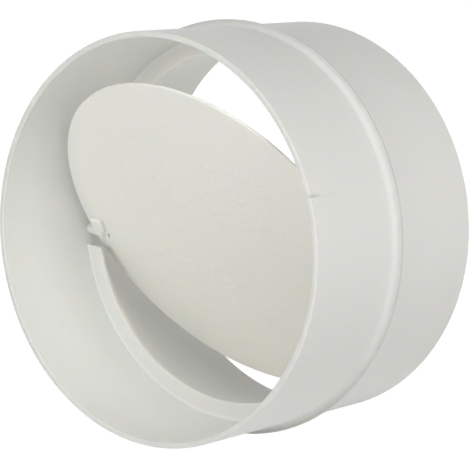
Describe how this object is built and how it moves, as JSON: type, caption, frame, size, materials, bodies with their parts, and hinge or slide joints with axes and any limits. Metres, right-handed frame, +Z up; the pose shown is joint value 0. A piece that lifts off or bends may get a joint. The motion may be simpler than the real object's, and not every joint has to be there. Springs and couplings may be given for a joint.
{
  "type": "round duct connector with back-draft flap",
  "caption": "Short round plastic duct connector with a stop bead round its middle and a thin round back-draft flap that swings on an off-centre pivot inside.",
  "frame": {"origin": "on the duct's axis, halfway along the tube", "axes": "+Y runs along the duct from the front end to the rear end, X is parallel to the flap's pivot, +Z is up, with the pivot below the duct's axis"},
  "size_m": [0.1027, 0.062, 0.1026],
  "materials": {
    "white_plastic": "satin off-white moulded plastic"
  },
  "bodies": {
    "connector_body": {"connector_body": "white_plastic"},
    "flap": {"flap": "white_plastic"}
  },
  "joints": [
    {"name": "flap_pivot", "type": "hinge", "parent": "connector_body", "child": "flap", "pos_m": [0, 0.0011, -0.0108], "axis": [1, 0, 0], "range_deg": [-33.8, 50.5]}
  ]
}
